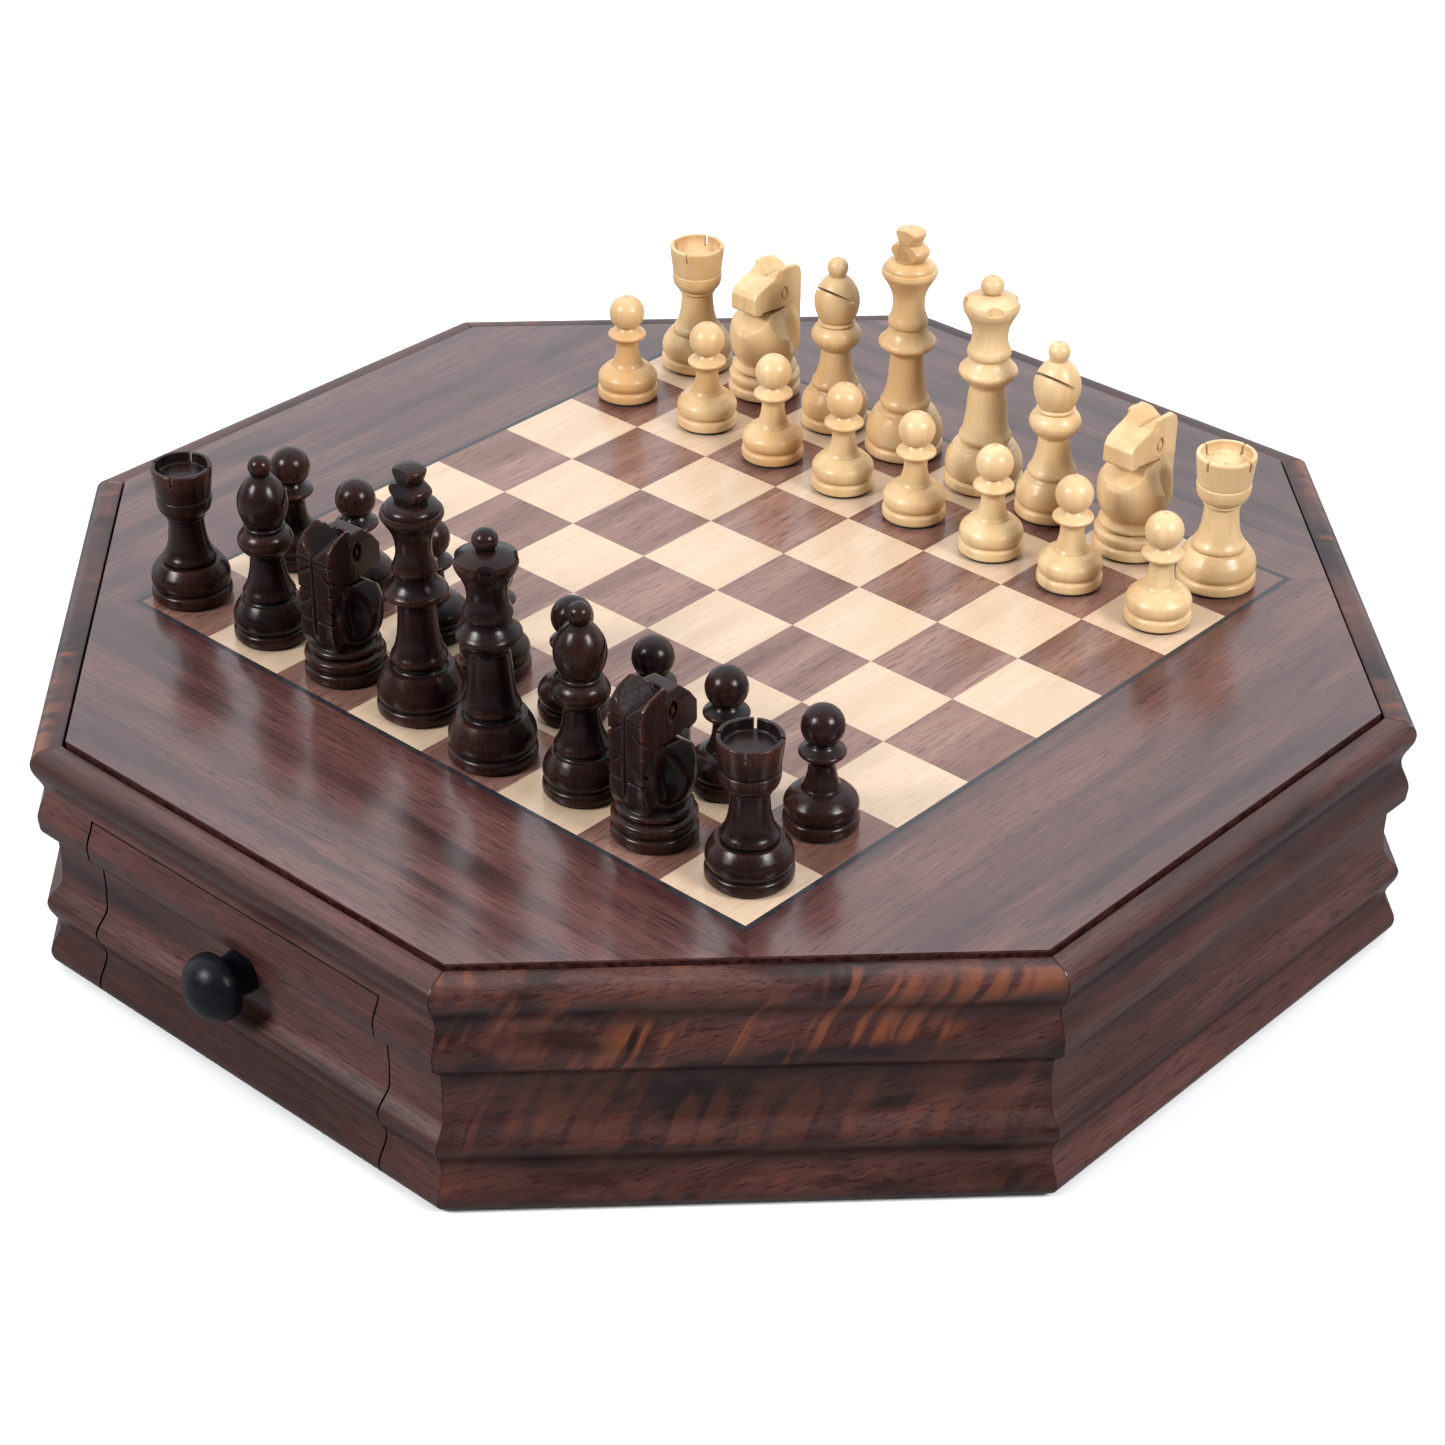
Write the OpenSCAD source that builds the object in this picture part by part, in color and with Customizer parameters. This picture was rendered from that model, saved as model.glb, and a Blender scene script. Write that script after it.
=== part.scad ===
// Eight-sided walnut chess cabinet with an inlaid board, two drawers and a full set of turned pieces.
// The origin is the centre of the case on the table. X runs along the files' ranks, the dark pieces
// stand on the -Y side and +Z is up. Sizes are in millimetres.

/* [Board] */
// Side of one square of the board
square = 35; // [32:1:36]
// Width of the black line let in round the squares
line_w = 2; // [1:0.5:3]
// Thickness of the veneers laid on the top panel
veneer_t = 0.8; // [0.5:0.1:1.2]
// Height of the playing surface above the table
board_z = 86; // [86:1:90]

/* [Case] */
// Distance from the case's centre to the widest point of its moulding
face_r = 225; // [223:1:226]
// Distance from the centre to the rails' inner faces
inner_r = 205; // [203:1:206]
// Distance from the centre to the edge of the inlaid top panel
panel_r = 213.3; // [212:0.1:213.5]
// Gap between the top panel and the rim that frames it
panel_gap = 1.2; // [0.8:0.1:1.6]
// How far the playing surface stands above the rim
panel_proud = 1.5; // [1:0.5:2]
// Thickness of the feet under the case
pad_t = 1; // [0.8:0.1:1.5]
// Thickness of the bottom board
bottom_t = 5; // [4:0.5:6]

/* [Drawers] */
// Width of a drawer's front
drawer_w = 134.2; // [130:0.2:136]
// Gap round a drawer's front
drawer_gap = 0.7; // [0.5:0.1:0.9]
// Height of a drawer front's upper edge above the table
drawer_top = 67.8; // [66:0.1:68]
// Thickness of a drawer's sides and back
side_t = 7; // [6:0.5:8]
// Height of the knob's centre above the table
knob_z = 42; // [40:0.5:44]
// Radius of the knob's head
knob_r = 11.5; // [10:0.5:12]

/* [Hidden] */
FILES = ["a", "b", "c", "d", "e", "f", "g", "h"];
BACK_ROW = ["rook", "knight", "bishop", "queen", "king", "bishop", "knight", "rook"];
DARK_BACK_ROW = ["rook", "knight", "bishop", "queen", "king", "knight", "bishop", "rook"];
DRAWERS = ["front", "back"];

// Small drifts of the pieces from the middles of their squares, file a to h, in squares
LIGHT_BACK_AT = [[0.01, 0.01], [-0.02, 0], [-0.08, 0.03], [0, 0.08], [-0.08, 0.08], [-0.03, 0.05],
    [-0.1, 0.11], [-0.1, 0.1]];
LIGHT_PAWN_AT = [[0.03, 0.01], [-0.05, 0.01], [-0.03, -0.01], [-0.06, 0.02], [-0.02, 0.01], [0, 0.01],
    [-0.03, 0.1], [-0.12, 0]];
DARK_BACK_AT = [[0.01, 0.09], [-0.04, 0.01], [0.01, 0.08], [0.01, -0.07], [-0.06, 0.04], [-0.07, 0.01],
    [-0.1, -0.02], [-0.26, -0.05]];
DARK_PAWN_AT = [[-0.05, 0.1], [-0.09, 0], [0.08, -0.07], [0.05, -0.06], [-0.04, -0.02], [0.01, 0.07],
    [-0.08, 0.11], [-0.05, 0.12]];
// Which way the back rows' pieces face, file a to h, in degrees from +X
LIGHT_TURN = [-3, -90, -90, -90, -90, -90, -90, 20];
DARK_TURN = [33, 90, 90, 90, 90, 95, 95, 30];

CASE_NODES = ["front_rail", "back_rail", "side_rails", "corner_rails", "top_panel", "border_veneer",
    "inlay_line", "light_squares", "dark_squares", "bottom_board", "drawer_runners", "drawer_stop",
    "glue_blocks", "feet"];
DRAWER_PARTS = ["face", "sides", "back", "bottom", "lining", "knob", "knob_screw"];

// One row per piece: its node's name, its kind, whether it is light, its place and its turn
PIECES = concat(
    [for (i = [0:7]) [str("white_", BACK_ROW[i], "_", FILES[i]), BACK_ROW[i], true,
        [3.5 - i, 3.5] + LIGHT_BACK_AT[i], LIGHT_TURN[i]]],
    [for (i = [0:7]) [str("white_pawn_", FILES[i]), "pawn", true, [3.5 - i, 2.5] + LIGHT_PAWN_AT[i], 0]],
    [for (i = [0:7]) [str("black_", DARK_BACK_ROW[i], "_", FILES[i]), DARK_BACK_ROW[i], false,
        [3.5 - i, -3.5] + DARK_BACK_AT[i], DARK_TURN[i]]],
    [for (i = [0:7]) [str("black_pawn_", FILES[i]), "pawn", false, [3.5 - i, -2.5] + DARK_PAWN_AT[i], 0]]);

// Derived heights and widths
half_board = 4 * square;
line_out = half_board + line_w;
veneer_z = board_z - veneer_t;
rim_z = board_z - panel_proud;
rail_z = pad_t;
ledge_z = board_z - 9.6;
floor_z = rail_z + 2 + bottom_t;
opening_top = drawer_top + drawer_gap;
opening_half = drawer_w / 2 + drawer_gap;
rim_r = panel_r + panel_gap;
fascia_r = face_r - 6;

// Drawer box
front_back_r = inner_r + 1;
box_half = 64;
box_z = floor_z + 0.4;
box_h = 53;
box_end_r = 11;
tray_z = box_z + 3;
tray_t = 4;
lining_t = 1;
screw_r = 2;
knob_foot_r = 7.4;
kicker_gap = 0.6;
guide_w = 7;
guide_gap = 0.6;
guide_h = 22;
kicker_w = 13;
stop_half = 10;
block_cut = 5;

// Width of the glue lines that part one glued piece from the next
glue_line = 0.05;

walnut = [0.28, 0.15, 0.11];
dark_walnut = [0.22, 0.11, 0.08];
maple = [0.83, 0.65, 0.44];
ply = [0.72, 0.56, 0.38];
boxwood = [0.88, 0.74, 0.52];
dark_stain = [0.13, 0.06, 0.05];

// ---- Case ----

// The moulding runs up the case as a row of soft waves. Each entry is a height and the distance
// from the case's centre there, at the waves' crests and troughs.
WAVES = [[rail_z + 5, face_r + 0.7], [16, face_r - 3.2], [25.5, face_r], [34, face_r - 5.6],
    [41, fascia_r], [48.5, face_r - 5.8], [55.5, face_r - 0.7], [59, face_r - 0.4],
    [69.2, face_r - 3.6], [79.6, face_r - 0.1]];
wave_steps = 4;
nose_drop = rim_z - 79.6;

// A soft wave from one crest or trough to the next
function swell(a, b) = [for (i = [1:wave_steps]) let (t = i / wave_steps)
    [a[1] + (b[1] - a[1]) * (1 - cos(180 * t)) / 2, a[0] + (b[0] - a[0]) * t]];

// A quarter round about a centre, from one angle to another
function quarter(c, rx, ry, from, to) = [for (i = [0:wave_steps])
    let (t = from + (to - from) * i / wave_steps) [c[0] + rx * cos(t), c[1] + ry * sin(t)]];

moulding = concat(
    [[inner_r, rail_z]],
    quarter([face_r - 3.3, rail_z + 5], 4, 5, -90, 0),
    [for (i = [0:len(WAVES) - 2]) each swell(WAVES[i], WAVES[i + 1])],
    quarter([face_r - 5, rim_z - nose_drop], 4.9, nose_drop, 0, 90),
    [[rim_r, rim_z], [rim_r, ledge_z], [inner_r, ledge_z]]);

module octagon(apothem, h) {
    rotate(22.5)
        cylinder(h = h, r = apothem / cos(22.5), $fn = 8);
}

// A length of moulding with its ends mitred for an eight-sided case, its face towards +X
module mitred_rail() {
    reach = face_r * 1.2;
    intersection() {
        rotate([90, 0, 0])
            linear_extrude(height = reach, center = true)
                polygon(moulding);
        linear_extrude(height = board_z)
            polygon([[0, 0], [reach, reach * tan(22.5)], [reach, -reach * tan(22.5)]]);
    }
}

// The rail over a drawer: full height at its ends, cut away where the drawer's front closes in it
module drawer_rail() {
    difference() {
        mitred_rail();
        translate([inner_r - 5, -opening_half, 0])
            cube([40, 2 * opening_half, opening_top]);
    }
}

module front_rail() {
    color(walnut) rotate(-90) drawer_rail();
}

module back_rail() {
    color(walnut) rotate(90) drawer_rail();
}

module side_rails() {
    color(walnut) for (a = [0, 180]) rotate(a) mitred_rail();
}

module corner_rails() {
    color(dark_walnut) for (a = [45:90:315]) rotate(a) mitred_rail();
}

module top_panel() {
    color(dark_walnut)
        translate([0, 0, ledge_z])
            octagon(panel_r, veneer_z - ledge_z);
}

// Lays four like pieces of veneer round the board, parted by glue lines at the mitres
module mitred_veneers() {
    difference() {
        translate([0, 0, veneer_z])
            for (a = [0:90:270]) rotate(a)
                linear_extrude(height = veneer_t) children();
        for (a = [45, 135]) rotate(a)
            translate([-face_r, -glue_line / 2, veneer_z - 1])
                cube([2 * face_r, glue_line, veneer_t + 2]);
    }
}

// Four pieces of veneer, mitred from the corners of the board to the middles of the diagonal edges
module border_veneer() {
    mitre = panel_r * cos(45);
    corner = panel_r * tan(22.5);
    color(walnut)
        mitred_veneers()
            polygon([[line_out, -line_out], [mitre, -mitre], [panel_r, -corner],
                [panel_r, corner], [mitre, mitre], [line_out, line_out]]);
}

module inlay_line() {
    color("black")
        mitred_veneers()
            polygon([[half_board, -half_board], [line_out, -line_out],
                [line_out, line_out], [half_board, half_board]]);
}

// Every other square of the board, starting with the file and rank whose sum is odd or even
module squares(odd) {
    translate([0, 0, veneer_z])
        for (i = [0:7], j = [0:7])
            if ((i + j) % 2 == odd)
                translate([(i - 4) * square, (j - 4) * square, 0])
                    cube([square, square, veneer_t]);
}

module light_squares() {
    color(maple) squares(1);
}

module dark_squares() {
    color(walnut) squares(0);
}

module bottom_board() {
    color(ply)
        translate([0, 0, rail_z + 2])
            octagon(inner_r, bottom_t);
}

// Strips that the drawers slide between, and strips over them that keep an open drawer level
module drawer_runners() {
    kicker_z = box_z + box_h + kicker_gap;
    color(ply) {
        for (m = [-1, 1]) {
            translate([m * (box_half + guide_gap + guide_w / 2), 0, floor_z + guide_h / 2])
                cube([guide_w, 2 * inner_r, guide_h], center = true);
            translate([m * (box_half - 1), 0, (kicker_z + ledge_z) / 2])
                cube([kicker_w, 2 * inner_r - 4, ledge_z - kicker_z], center = true);
        }
    }
}

module drawer_stop() {
    color(ply)
        translate([0, 0, floor_z + 15])
            cube([2 * box_half - 8, 2 * stop_half, 30], center = true);
}

// Three-cornered blocks glued inside the mitres
module glue_blocks() {
    corner_r = inner_r / cos(22.5);
    color(ply)
        for (a = [22.5:45:337.5]) rotate(a)
            translate([0, 0, floor_z])
                linear_extrude(height = ledge_z - floor_z - 2)
                    polygon([[corner_r, 0], [corner_r - block_cut, block_cut * tan(67.5)],
                        [corner_r - block_cut, -block_cut * tan(67.5)]]);
}

module feet() {
    color("dimgray")
        for (a = [22.5:45:337.5]) rotate(a)
            translate([230, 0, 0])
                cylinder(h = pad_t, r = 7, $fn = 32);
}

// ---- Drawers: drawn for the -Y face, turned half round for the +Y face ----

module to_face(side) {
    rotate(side == "front" ? 0 : 180) children();
}

// The front is cut from the same moulding as the rail, so the waves run on across it
module drawer_face(side) {
    color(walnut) to_face(side)
        difference() {
            rotate(-90)
                intersection() {
                    mitred_rail();
                    translate([front_back_r, -drawer_w / 2, rail_z + 0.5])
                        cube([40, drawer_w, drawer_top - rail_z - 0.5]);
                }
            translate([0, -fascia_r, knob_z]) rotate([90, 0, 0])
                cylinder(h = 9, r = knob_foot_r + 0.3, $fn = 48);
            translate([0, -front_back_r + 1, knob_z]) rotate([90, 0, 0])
                cylinder(h = 30, r = screw_r + 0.1, $fn = 32);
        }
}

module drawer_sides(side) {
    color(ply) to_face(side)
        for (m = [-1, 1])
            translate([m * (box_half - side_t / 2), -(front_back_r + box_end_r) / 2, box_z + box_h / 2])
                cube([side_t, front_back_r - box_end_r, box_h], center = true);
}

module drawer_back(side) {
    color(ply) to_face(side)
        translate([side_t - box_half, -box_end_r - side_t, box_z])
            cube([2 * (box_half - side_t), side_t, box_h]);
}

module drawer_bottom(side) {
    color(ply) to_face(side)
        translate([side_t - box_half, -front_back_r, tray_z])
            cube([2 * (box_half - side_t), front_back_r - box_end_r - side_t, tray_t]);
}

module drawer_lining(side) {
    color("darkgreen") to_face(side)
        translate([side_t - box_half, -front_back_r, tray_z + tray_t])
            cube([2 * (box_half - side_t), front_back_r - box_end_r - side_t, lining_t]);
}

// Turned knob: a stout waisted stem on the front's flat and a domed mushroom head
module drawer_knob(side) {
    knob = concat(
        [[0, 0], [knob_foot_r, 0], [knob_foot_r, 1], [7, 2], [6.6, 3.5], [6.7, 5], [7.2, 6.5], [8.2, 7.8]],
        quarter([knob_r - 2, 10.6], 2, 2.2, -90, 0),
        quarter([0, 11.2], knob_r, 9.3, 5, 85),
        [[0, 20.5]]);
    color("black") to_face(side)
        translate([0, -fascia_r, knob_z]) rotate([90, 0, 0])
            difference() {
                rotate_extrude($fn = 64) polygon(knob);
                translate([0, 0, -1]) cylinder(h = 13, r = screw_r, $fn = 32);
            }
}

// Round-headed screw through the front into the knob
module drawer_knob_screw(side) {
    head_y = front_back_r;
    color("goldenrod") to_face(side)
        translate([0, -head_y, knob_z]) rotate([90, 0, 0]) {
            cylinder(h = fascia_r - head_y + 10, r = screw_r - 0.05, $fn = 32);
            rotate([180, 0, 0]) cylinder(h = 2.4, r = 4, $fn = 32);
        }
}

// ---- Pieces: outlines are given in squares, from the felt up ----

felt_t = 0.03;

// The turned foot that every piece stands on: a disc, a groove and a rounded shoulder up to the step
function foot(r, top) = let (rise = top - 0.24) [
    [0, felt_t], [r - 0.02, felt_t], [r, felt_t + 0.02], [r, 0.125], [r - 0.03, 0.155], [r - 0.012, 0.19],
    [r - 0.005, 0.235], [r - 0.012, 0.24 + rise * 0.25], [r - 0.035, 0.24 + rise * 0.55],
    [r - 0.065, 0.24 + rise * 0.82], [r - 0.09, top]];

// A round or flattened ball on the axis
function ball(z, r, h, from, steps) = [for (i = [0:steps]) let (t = from + (90 - from) * i / steps)
    [i == steps ? 0 : r * cos(t), z + h * sin(t)]];

function outline(kind) =
    kind == "pawn" ? concat(foot(0.33, 0.36),
        [[0.19, 0.385], [0.165, 0.4], [0.15, 0.45], [0.128, 0.53], [0.122, 0.62], [0.135, 0.67],
        [0.19, 0.715], [0.205, 0.74], [0.195, 0.765], [0.14, 0.805], [0.11, 0.84]],
        ball(0.995, 0.19, 0.194, -52, 10)) :
    kind == "rook" ? concat(foot(0.396, 0.41),
        [[0.25, 0.42], [0.265, 0.45], [0.26, 0.47], [0.22, 0.54], [0.19, 0.66], [0.176, 0.8], [0.172, 0.88],
        [0.195, 0.9], [0.195, 0.93], [0.24, 0.97], [0.267, 1.04], [0.272, 1.12], [0.262, 1.13],
        [0.27, 1.15], [0.298, 1.42], [0.285, 1.44], [0, 1.44]]) :
    kind == "bishop" ? concat(foot(0.367, 0.43),
        [[0.235, 0.47], [0.255, 0.5], [0.25, 0.52], [0.21, 0.6], [0.175, 0.74], [0.157, 0.9], [0.175, 0.93],
        [0.23, 0.97], [0.266, 1.04], [0.264, 1.08], [0.24, 1.13], [0.205, 1.17], [0.18, 1.19],
        [0.2, 1.21], [0.175, 1.23], [0.21, 1.3], [0.237, 1.38], [0.243, 1.45], [0.232, 1.53], [0.2, 1.61],
        [0.145, 1.69], [0.085, 1.74]], ball(1.83, 0.113, 0.11, -40, 7)) :
    kind == "queen" ? concat(foot(0.415, 0.46),
        [[0.25, 0.52], [0.275, 0.555], [0.27, 0.58], [0.235, 0.66], [0.215, 0.8], [0.2, 1], [0.185, 1.13],
        [0.2, 1.15], [0.265, 1.2], [0.302, 1.28], [0.304, 1.33], [0.27, 1.39], [0.22, 1.45], [0.2, 1.465],
        [0.224, 1.49], [0.228, 1.53], [0.21, 1.58], [0.19, 1.64], [0.187, 1.72], [0.203, 1.81],
        [0.24, 1.9], [0.28, 1.97], [0.297, 2.03], [0.287, 2.09], [0.25, 2.11], [0.18, 2.14], [0.08, 2.17]],
        ball(2.245, 0.12, 0.11, -45, 7)) :
    kind == "king" ? concat(foot(0.415, 0.48),
        [[0.25, 0.54], [0.268, 0.585], [0.262, 0.61], [0.225, 0.68], [0.197, 0.8], [0.182, 1], [0.174, 1.14],
        [0.19, 1.16], [0.26, 1.21], [0.303, 1.26], [0.303, 1.29], [0.265, 1.35], [0.21, 1.42], [0.19, 1.455],
        [0.207, 1.49], [0.21, 1.54], [0.195, 1.58], [0.172, 1.64], [0.168, 1.73], [0.18, 1.83],
        [0.22, 1.93], [0.27, 2.01], [0.295, 2.06], [0.29, 2.1], [0.262, 2.11], [0.262, 2.14],
        [0.22, 2.18], [0.15, 2.2], [0.155, 2.22], [0.2, 2.28], [0.2, 2.33], [0.12, 2.39], [0.155, 2.49],
        [0.15, 2.53], [0, 2.56]]) :
    concat(foot(0.395, 0.3),
        [[0.335, 0.31], [0.35, 0.33], [0.345, 0.36], [0.31, 0.38], [0.3, 0.42], [0, 0.42]]);

// The knight's head and chest from the side, its nose towards +X
KNIGHT_SIDE = [[-0.3, 0.41], [-0.35, 0.5], [-0.36, 0.7], [-0.36, 1.42], [-0.33, 1.5], [-0.25, 1.55],
    [-0.1, 1.57], [-0.02, 1.55], [0.03, 1.48], [0.1, 1.54], [0.2, 1.5], [0.33, 1.4], [0.36, 1.35],
    [0.36, 1.17], [0.31, 1.1], [0.2, 1.06], [0.08, 1.02], [0.2, 0.98], [0.3, 0.84], [0.35, 0.7],
    [0.35, 0.52], [0.3, 0.41]];
// The same from the front, one half, with the cleft between the ears at the top
KNIGHT_FRONT = [[0, 0.41], [0.3, 0.41], [0.35, 0.5], [0.35, 0.58], [0.28, 0.8], [0.21, 1.02], [0.2, 1.3],
    [0.21, 1.42], [0.15, 1.54], [0.08, 1.57], [0, 1.44]];

// Carved from a round blank: sawn to its outline from the side and pared from the front
module knight_head() {
    width = square;
    blank_r = 0.385 * square;
    intersection() {
        rotate([90, 0, 0])
            linear_extrude(height = width, center = true)
                polygon(KNIGHT_SIDE * square);
        rotate([90, 0, 90])
            linear_extrude(height = width, center = true)
                union() {
                    polygon(KNIGHT_FRONT * square);
                    mirror([1, 0]) polygon(KNIGHT_FRONT * square);
                }
        cylinder(h = 2 * square, r = blank_r, $fn = 64);
    }
}

module turned(kind, size) {
    rotate_extrude($fn = 64)
        polygon(outline(kind) * square * size);
}

// The hollow of the rook's head and the saw cuts across its rim
module rook_cuts() {
    cup_r = 0.24 * square;
    cut_w = 0.03 * square;
    translate([0, 0, 1.24 * square])
        cylinder(h = square, r = cup_r, $fn = 48);
    for (a = [0, 90]) rotate(a)
        translate([-square / 2, -cut_w / 2, 1.31 * square])
            cube([square, cut_w, square]);
}

// The slanting saw cut in the bishop's mitre, open towards +X
module bishop_cut() {
    cut_w = 0.03 * square;
    translate([0.02 * square, -square / 2, 1.47 * square])
        rotate([0, -38, 0])
            cube([square, square, cut_w]);
}

// Four scallops round the queen's coronet
module coronet_cuts() {
    scallop_r = 0.12 * square;
    for (a = [45:90:315]) rotate(a)
        translate([0.36 * square, 0, 2.02 * square])
            cylinder(h = square, r = scallop_r, $fn = 32);
}

// The king's finial is cut flat front and back to leave a cross
module finial_flats() {
    for (m = [-1, 1])
        translate([m * 0.31 * square - 0.2 * square, -square / 2, 2.21 * square])
            cube([0.4 * square, square, square]);
}

module carve(kind, size) {
    difference() {
        turned(kind, size);
        if (kind == "rook") rook_cuts();
        if (kind == "bishop") bishop_cut();
        if (kind == "queen") coronet_cuts();
        if (kind == "king") finial_flats();
    }
}

function foot_r(kind) = kind == "pawn" ? 0.33 : kind == "bishop" ? 0.367 : 0.39;

// The dark pawns were turned from slightly stouter blanks
function size_of(kind, light) = kind == "pawn" && !light ? 1.045 : 1;

// The whole set stands a little off the squares' middles
SET_AT = [0.015, -0.015];

// One piece on its square, with the felt disc glued under it
module chess_piece(p) {
    kind = p[1];
    at = (p[3] + SET_AT) * square;
    translate([at[0], at[1], board_z]) rotate(p[4]) {
        color(p[2] ? boxwood : dark_stain) {
            carve(kind, size_of(kind, p[2]));
            if (kind == "knight") knight_head();
        }
        color("darkgreen")
            cylinder(h = felt_t * square - glue_line, r = (foot_r(kind) - 0.03) * square, $fn = 48);
    }
}

front_rail();
back_rail();
side_rails();
corner_rails();
top_panel();
border_veneer();
inlay_line();
light_squares();
dark_squares();
bottom_board();
drawer_runners();
drawer_stop();
glue_blocks();
feet();
for (side = DRAWERS) {
    drawer_face(side);
    drawer_sides(side);
    drawer_back(side);
    drawer_bottom(side);
    drawer_lining(side);
    drawer_knob(side);
    drawer_knob_screw(side);
}
for (p = PIECES)
    chess_piece(p);
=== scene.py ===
import math
import bmesh
import bpy
import numpy as np
from mathutils import Matrix, Quaternion, Vector
from mathutils.kdtree import KDTree


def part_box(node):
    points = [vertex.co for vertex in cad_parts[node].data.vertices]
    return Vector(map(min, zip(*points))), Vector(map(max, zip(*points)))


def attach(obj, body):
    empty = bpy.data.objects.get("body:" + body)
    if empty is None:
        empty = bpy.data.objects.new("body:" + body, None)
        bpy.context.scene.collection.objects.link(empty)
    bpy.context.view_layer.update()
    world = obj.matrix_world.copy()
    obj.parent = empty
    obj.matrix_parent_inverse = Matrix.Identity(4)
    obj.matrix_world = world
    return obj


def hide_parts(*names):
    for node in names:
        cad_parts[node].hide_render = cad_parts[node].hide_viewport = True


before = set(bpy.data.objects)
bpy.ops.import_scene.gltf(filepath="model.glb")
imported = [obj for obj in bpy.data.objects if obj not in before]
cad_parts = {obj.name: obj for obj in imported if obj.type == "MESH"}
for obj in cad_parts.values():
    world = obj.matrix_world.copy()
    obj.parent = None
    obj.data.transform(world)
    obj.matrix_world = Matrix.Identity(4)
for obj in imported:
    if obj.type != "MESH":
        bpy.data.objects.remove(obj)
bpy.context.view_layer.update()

mm = 0.001


# ---- The table and the light ----
# The set stands on a pale seamless table. A big soft lamp hangs to the left and one to the right,
# above the viewer, and the white walls of the studio light everything else and shine in the polish.

def add(tree, kind, ins=None, **settings):
    """A new node, with its settings made and its inputs set or joined"""
    made = tree.nodes.new("ShaderNode" + kind)
    for name, value in settings.items():
        setattr(made, name, value)
    for name, value in (ins or {}).items():
        if isinstance(value, bpy.types.NodeSocket):
            tree.links.new(value, made.inputs[name])
        else:
            made.inputs[name].default_value = value
    return made


def place_on(tree):
    """Where on the object the colour is asked for, in metres"""
    return add(tree, "TexCoord").outputs["Object"]


def noise(tree, vector, stretch, detail=2, rough=0.5, wander=0):
    """A cloudy value from 0 to 1 whose patches are 1 / stretch long on each axis"""
    at = add(tree, "VectorMath", {0: vector, 1: stretch}, operation="MULTIPLY").outputs[0]
    return add(tree, "TexNoise", {"Vector": at, "Scale": 1, "Detail": detail, "Roughness": rough,
        "Distortion": wander}).outputs["Fac"]


def ramp(tree, value, low, high, to_low=0, to_high=1):
    """The value brought from low..high to to_low..to_high with soft ends"""
    return add(tree, "MapRange", {"Value": value, "From Min": low, "From Max": high,
        "To Min": to_low, "To Max": to_high}, interpolation_type="SMOOTHSTEP").outputs[0]


def mix(tree, amount, a, b, blend="MIX"):
    """Colour a laid over with colour b"""
    return add(tree, "Mix", {0: amount, 6: a, 7: b}, data_type="RGBA", blend_type=blend).outputs[2]


def maths(tree, operation, a, b=0.0):
    return add(tree, "Math", {0: a, 1: b}, operation=operation).outputs[0]


def material(name, roughness=0.5, **sockets):
    """A new material, its tree and its shader, with values that are the same all over"""
    made = bpy.data.materials.new(name)
    made.use_nodes = True
    shader = made.node_tree.nodes["Principled BSDF"]
    shader.inputs["Roughness"].default_value = roughness
    for socket, value in sockets.items():
        shader.inputs[socket.replace("_", " ")].default_value = value
    return made, made.node_tree, shader


def bump(tree, shader, height, depth, strength=1.0):
    """Joins a height from 0 to 1, as deep as depth in metres, to the shader"""
    made = add(tree, "Bump", {"Height": height, "Distance": depth, "Strength": strength})
    tree.links.new(made.outputs[0], shader.inputs["Normal"])


def show(name, mesh):
    """A new object that is shown in the scene"""
    made = bpy.data.objects.new(name, mesh)
    bpy.context.collection.objects.link(made)
    return made


table_half = 6
table_mesh = bpy.data.meshes.new("table")
table_mesh.from_pydata([(-table_half, -table_half, 0), (table_half, -table_half, 0),
    (table_half, table_half, 0), (-table_half, table_half, 0)], [], [(0, 1, 2, 3)])
table = show("table", table_mesh)
table_paint, tree, shader = material("table_paint", 0.9)
place = place_on(tree)
tone = mix(tree, noise(tree, place, (3, 3, 3)), (0.9, 0.9, 0.905, 1), (0.93, 0.93, 0.935, 1))
# The table is lit through from below where it is looked at, so it shines on the set less than it shows
seen = add(tree, "LightPath").outputs["Is Camera Ray"]
tree.links.new(mix(tree, seen, (0.26, 0.26, 0.27, 1), tone), shader.inputs["Base Color"])
table_mesh.materials.append(table_paint)

world = bpy.data.worlds.new("studio_walls")
world.use_nodes = True
walls = world.node_tree
# The wall behind the set is bright, the ceiling softer, and the room on the viewer's side is dim
toward = add(walls, "TexCoord").outputs["Generated"]
behind = add(walls, "VectorMath", {0: toward, 1: (-0.673, 0.739, 0)},
    operation="DOT_PRODUCT").outputs["Value"]
height = add(walls, "SeparateXYZ", {0: toward}).outputs[2]
glow = maths(walls, "ADD", ramp(walls, behind, -0.25, 0.5, 0.08, 1.5),
    ramp(walls, height, 0.45, 0.95, 0, 0.6))
seen = add(walls, "LightPath").outputs["Is Camera Ray"]
glow = maths(walls, "MAXIMUM", glow, seen)
walls.links.new(glow, walls.nodes["Background"].inputs["Strength"])
walls.nodes["Background"].inputs["Color"].default_value = (0.9, 0.95, 1, 1)
bpy.context.scene.world = world
bpy.context.scene.view_settings.view_transform = "Standard"

# Two square soft lamps that point at the middle of the board
lamp_width, lamp_watts, board_middle = 0.6, 42, Vector((0, 0, 0.08))
for name, at in (("lamp_left", (-0.5, -1.6, 1.3)), ("lamp_right", (1.7, 0.1, 1.3))):
    data = bpy.data.lights.new(name, "AREA")
    data.size, data.energy = lamp_width, lamp_watts
    lamp = show(name, data)
    lamp.location = at
    lamp.rotation_mode = "QUATERNION"
    lamp.rotation_quaternion = (board_middle - Vector(at)).to_track_quat("-Z", "Y")

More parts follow.
